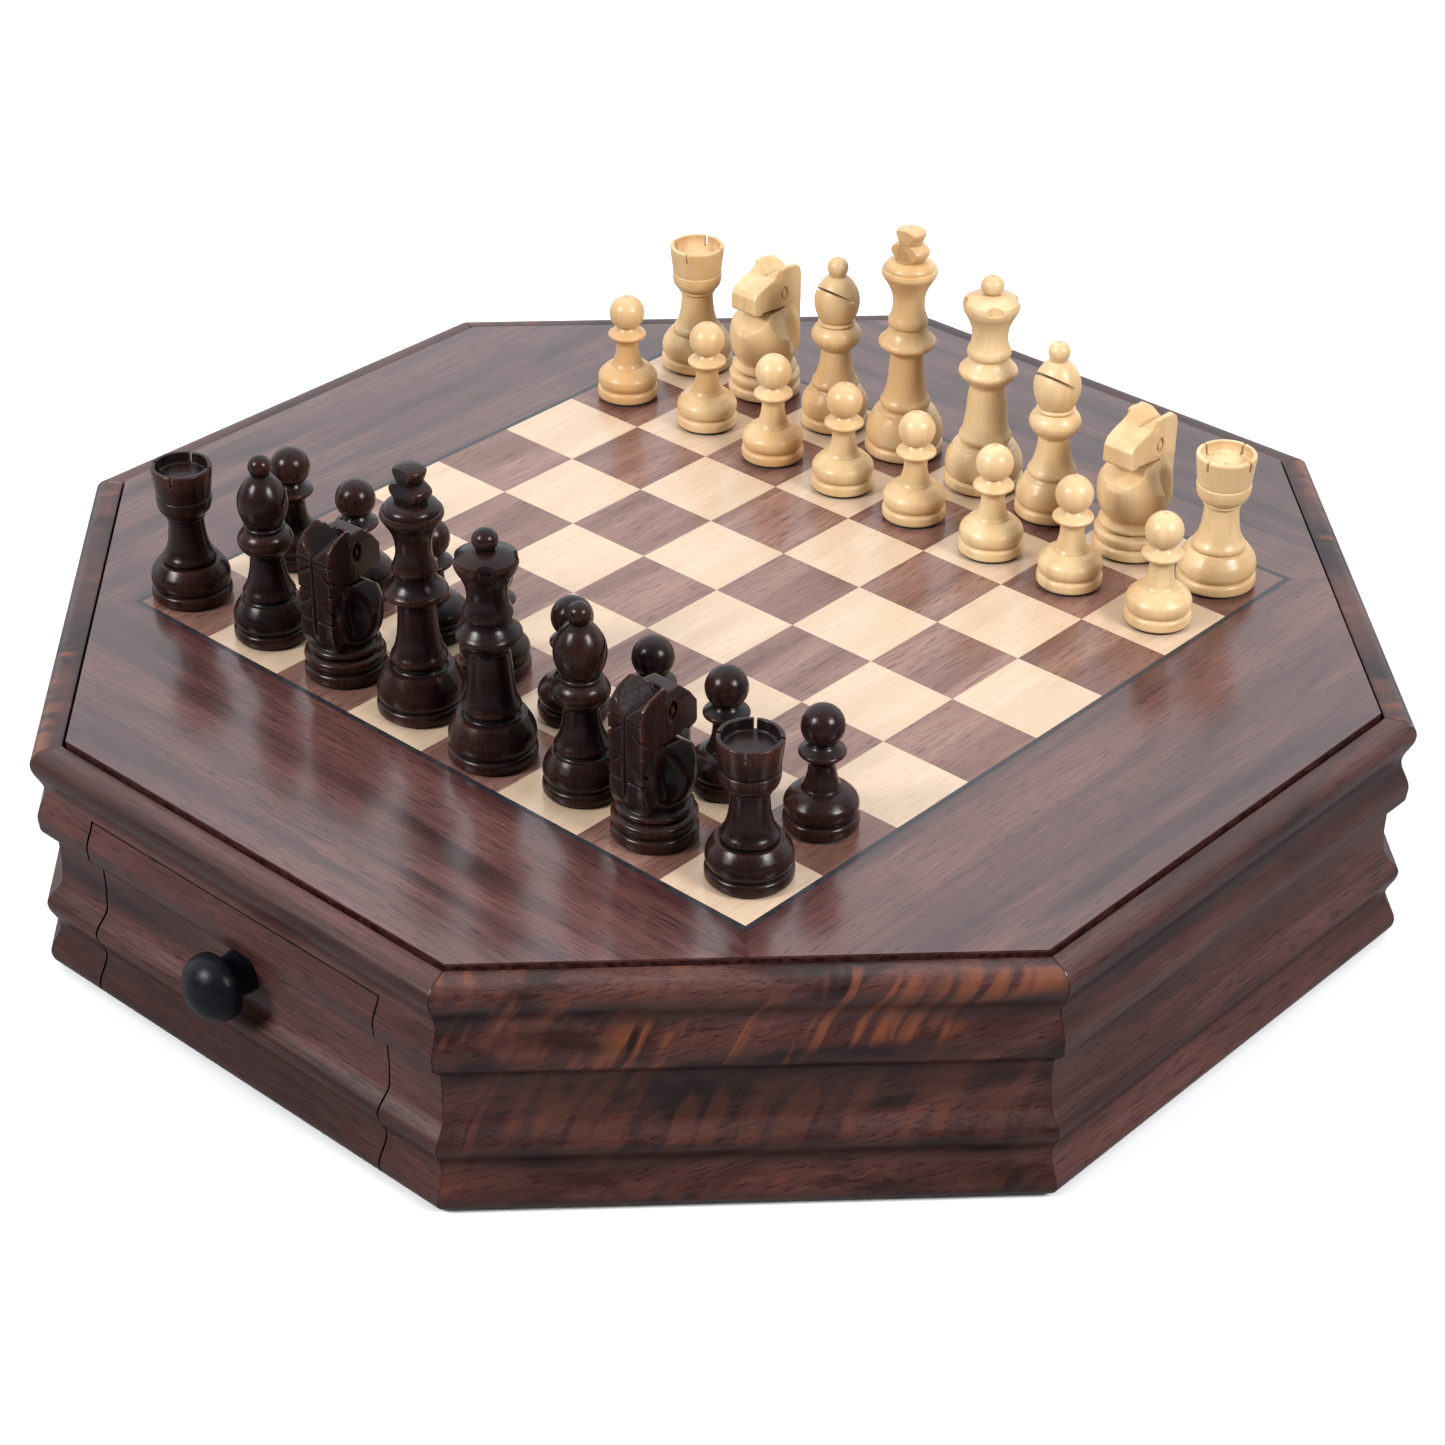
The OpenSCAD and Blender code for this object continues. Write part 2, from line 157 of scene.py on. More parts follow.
# The viewer stands at the front right corner and looks down on the board
camera = show("camera", bpy.data.cameras.new("camera"))
camera.data.sensor_width = 36
camera.data.lens = 81.71
camera.location = (0.66458, -0.72602, 0.65719)
turn, tilt, roll = math.radians(42.344), math.radians(32.441), math.radians(0.21)
ahead = Vector((-math.sin(turn) * math.cos(tilt), math.cos(turn) * math.cos(tilt), -math.sin(tilt)))
camera.rotation_mode = "QUATERNION"
camera.rotation_quaternion = ahead.to_track_quat("-Z", "Y") @ Quaternion((0, 0, 1), roll)
bpy.context.scene.camera = camera


# ---- The case's rails ----
# Eight lengths of solid walnut moulding, mitred and glued into an eight-sided frame. The four across
# the corners are of figured wood. Each mitre's edges are eased, so that the joint shows as a fine line.

# All in millimetres, measured out from the frame's middle and up from the table
bead_stands_out, rail_thickness, rim_width, ledge_depth = 0.7, 20, 10.5, 8.1
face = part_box("side_rails")[1].x / mm - bead_stands_out
rim_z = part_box("side_rails")[1].z / mm
inner_r, rim_r, ledge_z = face - rail_thickness, face - rim_width, rim_z - ledge_depth
rail_z = 1
mitre_slope = math.tan(math.radians(22.5))


def waved(waves, steps=9):
    """A line of soft waves through their crests and troughs, each given as height and distance out"""
    line = []
    for (z0, r0), (z1, r1) in zip(waves, waves[1:]):
        for i in range(1, steps + 1):
            part = i / steps
            line.append((r0 + (r1 - r0) * (1 - math.cos(math.pi * part)) / 2, z0 + (z1 - z0) * part))
    return line


def quarter(r, z, rx, rz, start, end, steps=9):
    """Part of a round about a centre, from one angle to another in degrees"""
    turns = [math.radians(start + (end - start) * i / steps) for i in range(steps + 1)]
    return [(r + rx * math.cos(t), z + rz * math.sin(t)) for t in turns]


# From below: the bottom bead, a cove, a bead, a flat band set in, a bead, a cove and the round nose
moulding = (quarter(face - 3.3, rail_z + 5, 4, 5, -90, 0)
    + waved([(6, face + bead_stands_out), (16, face - 3.2), (25.5, face), (34, face - 5.6), (41, face - 6),
        (48.5, face - 5.8), (55.5, face - 0.7), (59, face - 0.4), (69.2, face - 3.6), (79.6, face - 0.1)])
    + quarter(face - 5, 79.6, 4.9, rim_z - 79.6, 0, 90)[1:])
rail_outline = ([(inner_r, rail_z)] + moulding
    + quarter(rim_r + 0.5, rim_z - 0.5, 0.5, 0.5, 90, 180, 3) + [(rim_r, ledge_z), (inner_r, ledge_z)])


def outward(outline):
    """The outward direction at each point of a closed outline that runs anticlockwise"""
    out = []
    for i, here in enumerate(outline):
        before, after = outline[i - 1], outline[(i + 1) % len(outline)]
        x, y = after[0] - before[0], after[1] - before[1]
        length = math.hypot(x, y) or 1
        out.append((y / length, -x / length))
    return out


def length_of_moulding(name, outline, half_length, eased=0.35):
    """Solid moulding along X with its face towards Y. half_length gives the length at a distance out"""
    inset = [(r - eased * dr, z - eased * dz) for (r, z), (dr, dz) in zip(outline, outward(outline))]
    verts = []
    for side, ends in ((-1, (inset, outline)), (1, (outline, inset))):
        for line in ends:
            short = eased if line is outline else 0
            verts += [(side * (half_length(r) - short) * mm, r * mm, z * mm) for r, z in line]
    n = len(outline)
    faces = [tuple(range(n)), tuple(range(4 * n - 1, 3 * n - 1, -1))]
    for ring in range(3):
        for i in range(n):
            j = (i + 1) % n
            faces.append((ring * n + i, ring * n + n + i, ring * n + n + j, ring * n + j))
    mesh = bpy.data.meshes.new(name)
    mesh.from_pydata(verts, [], faces)
    return mesh


def block(low, high):
    """A box between two corners, in metres"""
    mesh = bpy.data.meshes.new("block")
    verts = [(x, y, z) for z in (low[2], high[2]) for y in (low[1], high[1]) for x in (low[0], high[0])]
    mesh.from_pydata(verts, [], [(0, 2, 3, 1), (4, 5, 7, 6), (0, 1, 5, 4), (2, 6, 7, 3), (0, 4, 6, 2),
        (1, 3, 7, 5)])
    return mesh


def cut(mesh, cutters, way="DIFFERENCE"):
    """The mesh with the cutters taken out of it, or with them joined to it"""
    work = show("work", mesh)
    tools = [show("tool", cutter) for cutter in cutters]
    for tool in tools:
        step = work.modifiers.new("cut", "BOOLEAN")
        step.operation, step.solver, step.object = way, "EXACT", tool
    made = bpy.data.meshes.new_from_object(work.evaluated_get(bpy.context.evaluated_depsgraph_get()))
    for thing in [work] + tools:
        bpy.data.objects.remove(thing)
    made.name = mesh.name
    return made


def finish_mesh(mesh, seed, wood, sharp=35):
    """Smooth shading up to an angle, the wood, and a number that sets where the grain is cut"""
    mesh.shade_smooth()
    mesh.set_sharp_from_angle(angle=math.radians(sharp))
    mesh.attributes.new("seed", "FLOAT", "POINT").data.foreach_set("value", [seed] * len(mesh.vertices))
    mesh.materials.clear()
    mesh.materials.append(wood)
    return mesh


def group(name, inputs, outputs):
    """A new shader group with its sockets, each given as a label and a kind"""
    made = bpy.data.node_groups.new(name, "ShaderNodeTree")
    for label, kind in inputs:
        made.interface.new_socket(label, in_out="INPUT", socket_type="NodeSocket" + kind)
    for label, kind in outputs:
        made.interface.new_socket(label, in_out="OUTPUT", socket_type="NodeSocket" + kind)
    return made, made.nodes.new("NodeGroupInput").outputs, made.nodes.new("NodeGroupOutput")


# Grain that runs along X: broad bands, fine fibres and short open pores
grain, given, put = group("wood_grain", [("Vector", "Vector"), ("Seed", "Float")],
    [("Bands", "Float"), ("Fibres", "Float"), ("Pores", "Float"), ("Cloud", "Float")])
shift = add(grain, "VectorMath", {0: (7.31, 3.17, 5.73), "Scale": given["Seed"]},
    operation="SCALE").outputs[0]
moved = add(grain, "VectorMath", {0: given["Vector"], 1: shift}, operation="ADD").outputs[0]
grain.links.new(noise(grain, moved, (5, 60, 60), 3, 0.6, 0.5), put.inputs["Bands"])
grain.links.new(noise(grain, moved, (40, 1100, 1100), 4, 0.65), put.inputs["Fibres"])
grain.links.new(ramp(grain, noise(grain, moved, (120, 1700, 1700), 1), 0.58, 0.68), put.inputs["Pores"])
grain.links.new(noise(grain, moved, (22, 30, 30), 2, 0.5), put.inputs["Cloud"])


def wood_grain(tree, vector, seed):
    """The grain group placed in a material"""
    made = tree.nodes.new("ShaderNodeGroup")
    made.node_tree = grain
    for label, value in (("Vector", vector), ("Seed", seed)):
        if isinstance(value, bpy.types.NodeSocket):
            tree.links.new(value, made.inputs[label])
        else:
            made.inputs[label].default_value = value
    return made.outputs


def wood(name, dark, mid, light, pore, roughness=(0.24, 0.34), depth=0.05, vector=None, seed=None,
        polish=0.5):
    """Lacquered wood: bands from dark to light, fibres, pores that are darker and stay open"""
    made, tree, shader = material(name, Specular_IOR_Level=polish)
    place = vector(tree) if vector else place_on(tree)
    number = seed(tree) if seed else add(tree, "Attribute", attribute_name="seed").outputs["Fac"]
    lines = wood_grain(tree, place, number)
    colour = mix(tree, ramp(tree, lines["Bands"], 0.32, 0.68), dark, light)
    colour = mix(tree, ramp(tree, lines["Cloud"], 0.3, 0.7, 0, 0.6), colour, mid)
    colour = mix(tree, ramp(tree, lines["Fibres"], 0.3, 0.7, 0.45, 0), colour, dark)
    colour = mix(tree, maths(tree, "MULTIPLY", lines["Pores"], 0.62), colour, pore)
    tree.links.new(colour, shader.inputs["Base Color"])
    tree.links.new(ramp(tree, lines["Fibres"], 0.3, 0.7, *roughness), shader.inputs["Roughness"])
    height = maths(tree, "SUBTRACT", maths(tree, "MULTIPLY", lines["Fibres"], 0.3), lines["Pores"])
    bump(tree, shader, height, depth * mm, 0.5)
    return made, tree, shader, colour


case_walnut = wood("case_walnut", (0.016, 0.0055, 0.0055, 1), (0.054, 0.0185, 0.0165, 1),
    (0.115, 0.044, 0.037, 1), (0.009, 0.004, 0.004, 1), (0.28, 0.38), polish=0.28)[0]


def slanting(tree):
    """Grain that runs across the rail at a slant, as it does near a crotch"""
    return add(tree, "VectorRotate", {"Vector": place_on(tree),
        "Angle": math.radians(-17)}, rotation_type="Y_AXIS").outputs[0]


figured_walnut, tree, shader, colour = wood("figured_walnut", (0.02, 0.007, 0.007, 1),
    (0.05, 0.018, 0.016, 1), (0.1, 0.038, 0.03, 1), (0.006, 0.002, 0.002, 1), (0.28, 0.38),
    vector=slanting, polish=0.28)
place = place_on(tree)
lean = add(tree, "VectorRotate", {"Vector": place, "Angle": math.radians(28)},
    rotation_type="Y_AXIS").outputs[0]
curls = ramp(tree, noise(tree, lean, (165, 24, 24), 2, 0.5, 0.7), 0.42, 0.6)
level = add(tree, "SeparateXYZ", {0: place}).outputs[2]
upper = ramp(tree, level, 0.046, 0.056, 0.25, 1)
patches = ramp(tree, noise(tree, place, (14, 40, 40), 2), 0.4, 0.56)
figure = maths(tree, "MULTIPLY", maths(tree, "MULTIPLY", curls, patches), upper)
clouds = ramp(tree, noise(tree, place, (22, 60, 60), 3, 0.6, 0.6), 0.46, 0.64)
colour = mix(tree, maths(tree, "MULTIPLY", clouds, 0.8), colour, (0.008, 0.003, 0.003, 1))
colour = mix(tree, maths(tree, "MULTIPLY", figure, 0.7), colour, (0.17, 0.052, 0.024, 1))
tree.links.new(colour, shader.inputs["Base Color"])


# Where the rail and the drawer's front are sawn apart, the cut faces inside the gap are coloured nearly
# black: painted shade that makes the gap read as a dark shadow line, on top of the dark stain of the cut
# edges
cut_edge_painted_shade, tree, shader = material("cut_edge_painted_shade", 0.7, Specular_IOR_Level=0.1)
speck = noise(tree, place_on(tree), (300, 300, 900), 3)
tree.links.new(mix(tree, speck, (0.001, 0.0006, 0.0006, 1), (0.006, 0.003, 0.003, 1)),
    shader.inputs["Base Color"])


def shade_cut_faces(mesh, half, top):
    """Colours the faces at a distance half to each side and those at the height top, in millimetres, nearly
    black: painted shade for the gap
    """
    # The near-black material is painted shade for the gap between the rail and the drawer's front
    mesh.materials.append(cut_edge_painted_shade)
    for polygon in mesh.polygons:
        at, out = polygon.center / mm, polygon.normal
        ends = abs(out.x) > 0.95 and abs(abs(at.x) - half) < 0.2
        if ends or abs(out.z) > 0.95 and abs(at.z - top) < 0.2:
            polygon.material_index = 1
    return mesh


def place_rail(name, mesh, angle, node):
    """Puts a rail that faces Y in its place on the frame, facing the angle in degrees from X"""
    rail = show(name, mesh)
    rail.rotation_euler.z = math.radians(angle - 90)
    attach(rail, "case")
    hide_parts(node)


mitred = lambda r: r * mitre_slope
for name, angle, node in (("right_rail", 0, "side_rails"), ("left_rail", 180, "side_rails")):
    mesh = length_of_moulding(name, rail_outline, mitred)
    place_rail(name, finish_mesh(mesh, 1 + angle / 50, case_walnut), angle, node)
for name, angle in (("front_right_corner_rail", -45), ("back_right_corner_rail", 45),
        ("back_left_corner_rail", 135), ("front_left_corner_rail", 225)):
    mesh = length_of_moulding(name, rail_outline, mitred)
    place_rail(name, finish_mesh(mesh, 2.3 + angle / 70, figured_walnut), angle, "corner_rails")

# The front and back rails are cut away below for the drawers' fronts
opening = [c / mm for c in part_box("front_drawer_face")[1]]
gap_round_front = 0.7
opening_half, opening_top = opening[0] + gap_round_front, opening[2] + gap_round_front
for name, angle in (("front_rail", -90), ("back_rail", 90)):
    # The saw runs right through the rail and a little past it on both faces
    hole = block((-opening_half * mm, (inner_r - 5) * mm, 0),
        (opening_half * mm, (face + 15) * mm, opening_top * mm))
    mesh = cut(length_of_moulding(name, rail_outline, mitred), [hole])
    mesh = shade_cut_faces(finish_mesh(mesh, 4 + angle / 60, case_walnut), opening_half, opening_top)
    place_rail(name, mesh, angle, name)


# ---- The top panel ----
# A solid panel that lies on the rails' ledge, with a gap round it. Its edge is stained dark red-brown
# and stands a little proud of the rim, and its arrises are just broken.

def broken_edges(node, width):
    """Rounds a part's sharp edges by a hair, as sandpaper leaves them"""
    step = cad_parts[node].modifiers.new("broken_edges", "BEVEL")
    step.width, step.segments, step.limit_method = width * mm, 2, "ANGLE"
    step.angle_limit = math.radians(40)


def finish_node(node, finish):
    """Gives a part its finish"""
    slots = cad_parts[node].data.materials
    slots.clear()
    slots.append(finish)


panel_edge, tree, shader = material("panel_edge", 0.4)
place = place_on(tree)
speck = noise(tree, place, (420, 420, 500), 3, 0.6)
colour = mix(tree, ramp(tree, speck, 0.35, 0.65), (0.014, 0.004, 0.004, 1), (0.05, 0.014, 0.012, 1))
tree.links.new(colour, shader.inputs["Base Color"])
tree.links.new(ramp(tree, speck, 0.3, 0.7, 0.3, 0.5), shader.inputs["Roughness"])
bump(tree, shader, speck, 0.1 * mm, 0.5)
finish_node("top_panel", panel_edge)
broken_edges("top_panel", 0.25)


# ---- The border veneer ----
# Four pieces of walnut veneer glued to the panel round the board. They meet in mitres from the board's
# corners to the middles of the diagonal edges, so that the grain of each runs along its own side.

def grain_along_y(tree):
    """Turns the grain to run along Y"""
    part = add(tree, "SeparateXYZ", {0: place_on(tree)}).outputs
    return add(tree, "CombineXYZ", {0: part[1], 1: part[0], 2: part[2]}).outputs[0]


def grain_by_quarter(tree):
    """Turns the grain along the board's nearest side"""
    place = place_on(tree)
    part = add(tree, "SeparateXYZ", {0: place}).outputs
    turned = grain_along_y(tree)
    side = maths(tree, "GREATER_THAN", maths(tree, "ABSOLUTE", part[0]), maths(tree, "ABSOLUTE", part[1]))
    return add(tree, "Mix", {0: side, 4: place, 5: turned}, data_type="VECTOR").outputs[1]


def seed_by_quarter(tree):
    """A number for each of the four pieces"""
    part = add(tree, "SeparateXYZ", {0: place_on(tree)}).outputs
    one = maths(tree, "GREATER_THAN", maths(tree, "ADD", part[0], part[1]), 0)
    two = maths(tree, "GREATER_THAN", maths(tree, "SUBTRACT", part[0], part[1]), 0)
    return maths(tree, "ADD", maths(tree, "MULTIPLY", one, 1.7), maths(tree, "MULTIPLY", two, 3.1))


border_walnut = wood("border_walnut", (0.024, 0.009, 0.009, 1), (0.072, 0.027, 0.025, 1),
    (0.145, 0.06, 0.053, 1), (0.015, 0.006, 0.006, 1), (0.15, 0.22), 0.02, grain_by_quarter,
    seed_by_quarter, 0.65)[0]
finish_node("border_veneer", border_walnut)
broken_edges("border_veneer", 0.15)


# ---- The black line ----
# Dyed stringing let in between the border and the squares, four strips mitred at the corners.

black_line, tree, shader = material("black_line", 0.3)
place = place_on(tree)
streak = noise(tree, place, (300, 300, 300), 3)
tree.links.new(mix(tree, streak, (0.008, 0.008, 0.011, 1), (0.03, 0.026, 0.03, 1)),
    shader.inputs["Base Color"])
tree.links.new(ramp(tree, streak, 0.3, 0.7, 0.25, 0.4), shader.inputs["Roughness"])
finish_node("inlay_line", black_line)


# ---- The squares ----
# Sixty-four squares of veneer glued to the panel: 32 of maple, pale and almost without grain, and 32 of
# walnut with short dark pores. Each is cut from another part of the sheet, so no two are quite alike.

squares_low, squares_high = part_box("light_squares")
square = (squares_high.x - squares_low.x) / 8
board_top = squares_high.z


def seed_by_square(tree):
    """A number for each square of the board"""
    place = place_on(tree)
    cell = add(tree, "VectorMath", {0: add(tree, "VectorMath", {0: place, 1: (1 / square, 1 / square, 0)},
        operation="MULTIPLY").outputs[0]}, operation="FLOOR").outputs[0]
    return maths(tree, "MULTIPLY", add(tree, "TexWhiteNoise", {"Vector": cell}).outputs["Value"], 9)


square_walnut = wood("square_walnut", (0.115, 0.05, 0.038, 1), (0.2, 0.098, 0.075, 1),
    (0.29, 0.16, 0.125, 1), (0.04, 0.016, 0.013, 1), (0.16, 0.24), 0.02, grain_along_y, seed_by_square)[0]
maple = wood("maple", (0.47, 0.335, 0.23, 1), (0.53, 0.385, 0.27, 1), (0.58, 0.43, 0.31, 1),
    (0.44, 0.3, 0.2, 1), (0.18, 0.26), 0.01, grain_along_y, seed_by_square)[0]
finish_node("dark_squares", square_walnut)
finish_node("light_squares", maple)


# ---- The case's inside ----
# A plywood bottom let in between the rails, strips that guide the drawers and keep an open one level,
# a bar in the middle that stops them, and three-cornered blocks glued into the mitres.

inside_wood = wood("inside_wood", (0.36, 0.24, 0.13, 1), (0.45, 0.31, 0.18, 1), (0.52, 0.38, 0.24, 1),
    (0.28, 0.18, 0.1, 1), (0.5, 0.65), 0.05, seed=lambda tree: 3.0)[0]
for node in ("bottom_board", "drawer_runners", "drawer_stop", "glue_blocks"):
    finish_node(node, inside_wood)
    broken_edges(node, 0.3)


# ---- The feet ----
# Small felt discs glued under the eight corners of the case.

felt, tree, shader = material("felt", 0.95)
place = place_on(tree)
fluff = noise(tree, place, (2600, 2600, 2600), 4, 0.7)
tree.links.new(mix(tree, ramp(tree, fluff, 0.3, 0.7), (0.008, 0.011, 0.01, 1), (0.035, 0.045, 0.04, 1)),
    shader.inputs["Base Color"])
bump(tree, shader, fluff, 0.2 * mm, 0.6)
finish_node("feet", felt)


# ---- The drawers ----
# Each front is cut from the same length of moulding as its rail, so that the waves run on across it.
# The box behind it is of thin pale boards, and a screw through the front holds the knob.

drawer_half, drawer_top = opening[0], opening[2]
# The front ends half a millimetre above the rails' underside and is a millimetre thinner than a rail
face_bottom, face_back, eased_edge = rail_z + 0.5, inner_r + 1, 0.15
body_line = [point for point in moulding if face_bottom < point[1] < drawer_top]
above = next(point for point in moulding if point[1] >= drawer_top)
below = body_line[-1]
part = (drawer_top - below[1]) / (above[1] - below[1])
top_out = below[0] + (above[0] - below[0]) * part
face_outline = ([(face_back, face_bottom), (face - 4.2, face_bottom)] + body_line
    + [(top_out, drawer_top - eased_edge), (top_out - eased_edge, drawer_top), (face_back, drawer_top)])
knob_low, knob_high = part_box("front_drawer_knob")
knob_z = (knob_low.z + knob_high.z) / 2 / mm
knob_seat = -knob_high.y / mm


def lathe(name, outline, segments=56):
    """A turned solid about Z. The outline runs from the bottom's middle up to the top's middle"""
    verts, faces, rings = [], [], []
    for r, z in outline:
        if r < 1e-6:
            rings.append([len(verts)] * segments)
            verts.append((0, 0, z))
        else:
            rings.append(list(range(len(verts), len(verts) + segments)))
            verts += [(r * math.cos(2 * math.pi * k / segments), r * math.sin(2 * math.pi * k / segments), z)
                for k in range(segments)]
    for low, high in zip(rings, rings[1:]):
        for k in range(segments):
            corner = [low[k], low[(k + 1) % segments], high[(k + 1) % segments], high[k]]
            faces.append(tuple(dict.fromkeys(corner)))
    mesh = bpy.data.meshes.new(name)
    mesh.from_pydata(verts, [], faces)
    return mesh


def rod(name, r, length, segments=56):
    """A plain round rod that stands on the origin"""
    return lathe(name, [(0, 0), (r, 0), (r, length), (0, length)], segments)


def turned_to_y(mesh):
    """Lays a turned part over, so that its foot is at the origin and its top towards Y"""
    mesh.transform(Matrix.Rotation(math.radians(-90), 4, "X"))
    return mesh


knob_black, tree, shader = material("knob_black", 0.35, Specular_IOR_Level=0.14)
place = place_on(tree)
dust = noise(tree, place, (700, 700, 700), 3)
tree.links.new(mix(tree, dust, (0.002, 0.002, 0.004, 1), (0.007, 0.007, 0.01, 1)),
    shader.inputs["Base Color"])
tree.links.new(ramp(tree, dust, 0.3, 0.7, 0.28, 0.4), shader.inputs["Roughness"])
bump(tree, shader, dust, 0.02 * mm, 0.4)

brass, tree, shader = material("brass", 0.3, Metallic=1)
place = place_on(tree)
tarnish = noise(tree, place, (900, 900, 900), 3)
tree.links.new(mix(tree, ramp(tree, tarnish, 0.4, 0.7), (0.78, 0.55, 0.22, 1), (0.4, 0.26, 0.1, 1)),
    shader.inputs["Base Color"])
tree.links.new(ramp(tree, tarnish, 0.3, 0.7, 0.22, 0.45), shader.inputs["Roughness"])

lining_cloth, tree, shader = material("lining_cloth", 0.95, Sheen_Weight=0.3)
place = place_on(tree)
fluff = noise(tree, place, (1500, 1500, 1500), 5, 0.7)
worn = noise(tree, place, (25, 25, 25), 2)
nap = mix(tree, ramp(tree, fluff, 0.3, 0.7), (0.007, 0.035, 0.02, 1), (0.02, 0.075, 0.045, 1))
tree.links.new(mix(tree, ramp(tree, worn, 0.45, 0.75, 0, 0.35), nap, (0.04, 0.11, 0.07, 1)),
    shader.inputs["Base Color"])
bump(tree, shader, fluff, 0.3 * mm, 0.7)

drawer_wood = wood("drawer_wood", (0.42, 0.29, 0.17, 1), (0.52, 0.38, 0.23, 1), (0.6, 0.45, 0.29, 1),
    (0.33, 0.21, 0.12, 1), (0.42, 0.55), 0.05, grain_along_y, lambda tree: 5.0)[0]

knob_outline = ([(0, 0), (7.2, 0), (7.4, 0.2), (7.4, 1.2), (7.3, 1.9), (7.15, 2.8), (7.1, 3.8),
    (7.15, 4.8), (7.35, 6), (7.8, 7), (8.5, 7.8)] + quarter(9.5, 10.6, 2, 2.3, -75, 0)
    + quarter(0, 11.2, 11.5, 9.3, 5, 88, 16) + [(0, 20.5)])
screw_outline = ([(0, -8), (1.6, -8), (1.95, -7.5), (1.95, 0), (4, 0), (4, 0.5)]
    + quarter(0, 0.5, 4, 1.9, 8, 80, 8) + [(0, 2.4)])
seat_r, seat_length, hole_r, hole_length = 7.7, 9, 2.1, 30
slot_half, slot_floor = 0.35, 1.2
for side, spin, sign, grain_number in (("front", 180, -1, 2.5), ("back", 0, 1, 5.5)):
    body = side + "_drawer"
    mesh = length_of_moulding(body + "_front", face_outline, lambda r: drawer_half, eased_edge)
    seat = turned_to_y(rod("seat", seat_r * mm, seat_length * mm))
    seat.transform(Matrix.Translation((0, knob_seat * mm, knob_z * mm)))
    drilled = turned_to_y(rod("drilled", hole_r * mm, hole_length * mm))
    drilled.transform(Matrix.Translation((0, (face_back - 2) * mm, knob_z * mm)))
    mesh = finish_mesh(cut(mesh, [seat, drilled]), grain_number, case_walnut)
    front = show(body + "_front", shade_cut_faces(mesh, drawer_half, drawer_top))
    front.rotation_euler.z = math.radians(spin)
    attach(front, body)
    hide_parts(body + "_face")

    for part in ("sides", "back", "bottom"):
        finish_node(f"{body}_{part}", drawer_wood)
        broken_edges(f"{body}_{part}", 0.4)

    outline = [(r * mm, z * mm) for r, z in knob_outline]
    knob = show(body + "_turned_knob", finish_mesh(turned_to_y(lathe("knob", outline)), 1, knob_black))
    knob.rotation_euler.z = math.radians(spin)
    knob.location = (0, sign * knob_seat * mm, knob_z * mm)
    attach(knob, body)
    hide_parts(body + "_knob")

    outline = [(r * mm, z * mm) for r, z in screw_outline]
    slot_cut = block((-5 * mm, -slot_half * mm, slot_floor * mm), (5 * mm, slot_half * mm, 4 * mm))
    mesh = turned_to_y(cut(lathe("screw", outline, 40), [slot_cut]))
    screw = show(body + "_slotted_screw", finish_mesh(mesh, 1, brass))
    screw.rotation_euler.z = math.radians(spin + 180)
    screw.location = (0, sign * face_back * mm, knob_z * mm)
    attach(screw, body)
    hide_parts(body + "_knob_screw")

    # The felt lies loose on the drawer's bottom, not quite flat
    low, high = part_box(body + "_lining")
    across, along, unevenness = 40, 64, 0.3 * mm
    verts = []
    for level in (0, 1):
        for j in range(along + 1):
            for i in range(across + 1):
                x = low.x + (high.x - low.x) * i / across
                y = low.y + (high.y - low.y) * j / along
                rise = 0.5 + 0.5 * math.sin(x * 61 + y * 23) * math.sin(y * 47 - x * 31 + 1)
                z = low.z if level == 0 else high.z - unevenness * rise
                verts.append((x, y, z))
    row, layer = across + 1, (across + 1) * (along + 1)
    faces = []
    for j in range(along):
        for i in range(across):
            a = j * row + i
            faces.append((a, a + row, a + row + 1, a + 1))
            faces.append((layer + a, layer + a + 1, layer + a + row + 1, layer + a + row))
    rim = ([i for i in range(across)] + [j * row + across for j in range(along)]
        + [along * row + i for i in range(across, 0, -1)] + [j * row for j in range(along, 0, -1)])
    for a, b in zip(rim, rim[1:] + rim[:1]):
        faces.append((a, b, layer + b, layer + a))
    mesh = bpy.data.meshes.new(body + "_felt")
    mesh.from_pydata(verts, [], faces)
    felt_sheet = show(body + "_felt_lining", finish_mesh(mesh, 1, lining_cloth))
    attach(felt_sheet, body)
    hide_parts(body + "_lining")


# ---- Turning the pieces ----
# Each piece is turned on the lathe from a square blank whose grain runs up the piece. Outlines are in
# squares of the board, from the felt up. A third number marks a crisp corner left by the turner's tool.

def smoothed(outline, step=0.012):
    """A smooth line through the outline's points, which bends sharply only at the marked ones"""
    points = [Vector(p[:2]) for p in outline]
    crisp = [len(p) > 2 for p in outline]
    crisp[0] = crisp[-1] = True
    line = [points[0]]
    for i in range(len(points) - 1):
        a, b = points[i], points[i + 1]
        before = points[i - 1] if not crisp[i] else a - (b - a)
        after = points[i + 2] if not crisp[i + 1] else b + (b - a)
        reach = (b - a).length
        slope_a = (b - before).normalized() * reach
        slope_b = (after - a).normalized() * reach
        count = max(1, math.ceil(reach / step))
        for k in range(1, count + 1):
            t = k / count
            spot = (a * (2 * t**3 - 3 * t**2 + 1) + slope_a * (t**3 - 2 * t**2 + t)
                + b * (3 * t**2 - 2 * t**3) + slope_b * (t**3 - t**2))
            line.append(Vector((max(spot.x, 0), spot.y)))
    return line


def foot(r, top):
    """The foot that every piece stands on: a disc, a groove and a rounded shoulder up to the step"""
    rise = top - 0.24
    return [(0, 0.03), (r - 0.022, 0.03, 1), (r - 0.006, 0.036), (r, 0.055), (r, 0.1), (r - 0.004, 0.122),
        (r - 0.018, 0.14), (r - 0.034, 0.148, 1), (r - 0.034, 0.158, 1), (r - 0.02, 0.175), (r - 0.01, 0.2),
        (r - 0.006, 0.225), (r - 0.01, 0.24 + rise * 0.2), (r - 0.024, 0.24 + rise * 0.45),
        (r - 0.045, 0.24 + rise * 0.65), (r - 0.068, 0.24 + rise * 0.84), (r - 0.09, top, 1)]


